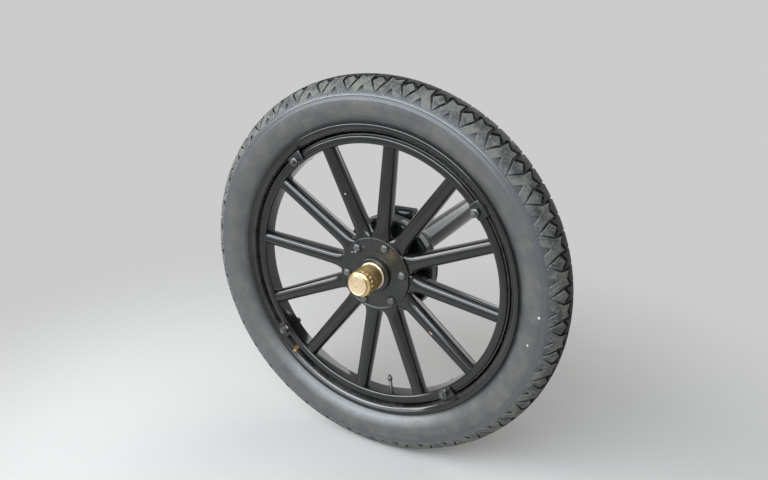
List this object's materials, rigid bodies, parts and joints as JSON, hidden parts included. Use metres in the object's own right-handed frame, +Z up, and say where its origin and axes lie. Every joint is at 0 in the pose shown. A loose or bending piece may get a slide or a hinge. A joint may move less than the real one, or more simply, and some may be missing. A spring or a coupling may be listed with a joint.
{
  "type": "antique car rear wheel on its axle end",
  "caption": "Left rear wheel of an antique car with wooden spokes, demountable rim, patterned tyre, brake drum and brass hub cap, turning freely on the end of its axle.",
  "frame": {"origin": "middle of the inboard end of the axle tube, on the wheel's axis, 600 mm inboard of the wheel's middle plane", "axes": "+Y along the axle, inboard and the way a mate leaves the tube; -Y outward to the hub cap; -X the car's front; +Z up"},
  "size_m": [0.782, 0.7255, 0.782],
  "materials": {
    "tyre_rubber": "aged black rubber with dust in the tread",
    "rim_paint": "gloss black enamel, worn at the lips",
    "painted_wood": "gloss black paint over wood",
    "hub_paint": "semi-gloss black paint with brown dust",
    "bolt_paint": "black paint worn to steel on the crowns",
    "nut_steel": "dull zinc-grey steel",
    "lug_paint": "black paint, chipped at the edges",
    "cap_brass": "polished brass with a brushed end",
    "valve_metal": "plated, gone dull",
    "drum_paint": "satin black paint, dusty",
    "axle_paint": "satin black paint, dusty",
    "shaft_steel": "bare turned steel"
  },
  "bodies": {
    "wheel": {"tyre": "tyre_rubber", "rim": "rim_paint", "felloe": "painted_wood", "felloe_band": "rim_paint", "spoke_01": "painted_wood", "spoke_02": "painted_wood", "spoke_03": "painted_wood", "spoke_04": "painted_wood", "spoke_05": "painted_wood", "spoke_06": "painted_wood", "spoke_07": "painted_wood", "spoke_08": "painted_wood", "spoke_09": "painted_wood", "spoke_10": "painted_wood", "spoke_11": "painted_wood", "spoke_12": "painted_wood", "hub": "hub_paint", "hub_plate": "hub_paint", "hub_bolt_1": "bolt_paint", "hub_nut_1": "bolt_paint", "hub_bolt_2": "bolt_paint", "hub_nut_2": "bolt_paint", "hub_bolt_3": "bolt_paint", "hub_nut_3": "bolt_paint", "hub_bolt_4": "bolt_paint", "hub_nut_4": "bolt_paint", "hub_bolt_5": "bolt_paint", "hub_nut_5": "bolt_paint", "hub_bolt_6": "bolt_paint", "hub_nut_6": "bolt_paint", "hub_cap": "cap_brass", "brake_drum": "drum_paint", "rim_lug_1": "lug_paint", "lug_bolt_1": "bolt_paint", "lug_nut_1": "nut_steel", "rim_lug_2": "lug_paint", "lug_bolt_2": "bolt_paint", "lug_nut_2": "nut_steel", "rim_lug_3": "lug_paint", "lug_bolt_3": "bolt_paint", "lug_nut_3": "nut_steel", "rim_lug_4": "lug_paint", "lug_bolt_4": "bolt_paint", "lug_nut_4": "nut_steel", "valve_stem": "valve_metal", "valve_cap": "valve_metal", "axle_shaft": "shaft_steel"},
    "axle_end": {"axle_tube": "axle_paint", "housing_end": "axle_paint", "backing_plate": "axle_paint", "backing_bolt_1": "bolt_paint", "backing_bolt_2": "bolt_paint", "backing_bolt_3": "bolt_paint", "backing_bolt_4": "bolt_paint", "spring_perch": "axle_paint", "brake_cam_shaft": "shaft_steel", "brake_cam_boss": "axle_paint", "brake_lever": "axle_paint", "radius_rod_ear": "axle_paint"}
  },
  "joints": [
    {"name": "wheel_spin", "type": "hinge", "parent": "axle_end", "child": "wheel", "pos_m": [0, -0.6, 0], "axis": [0, 1, 0], "continuous": true}
  ]
}
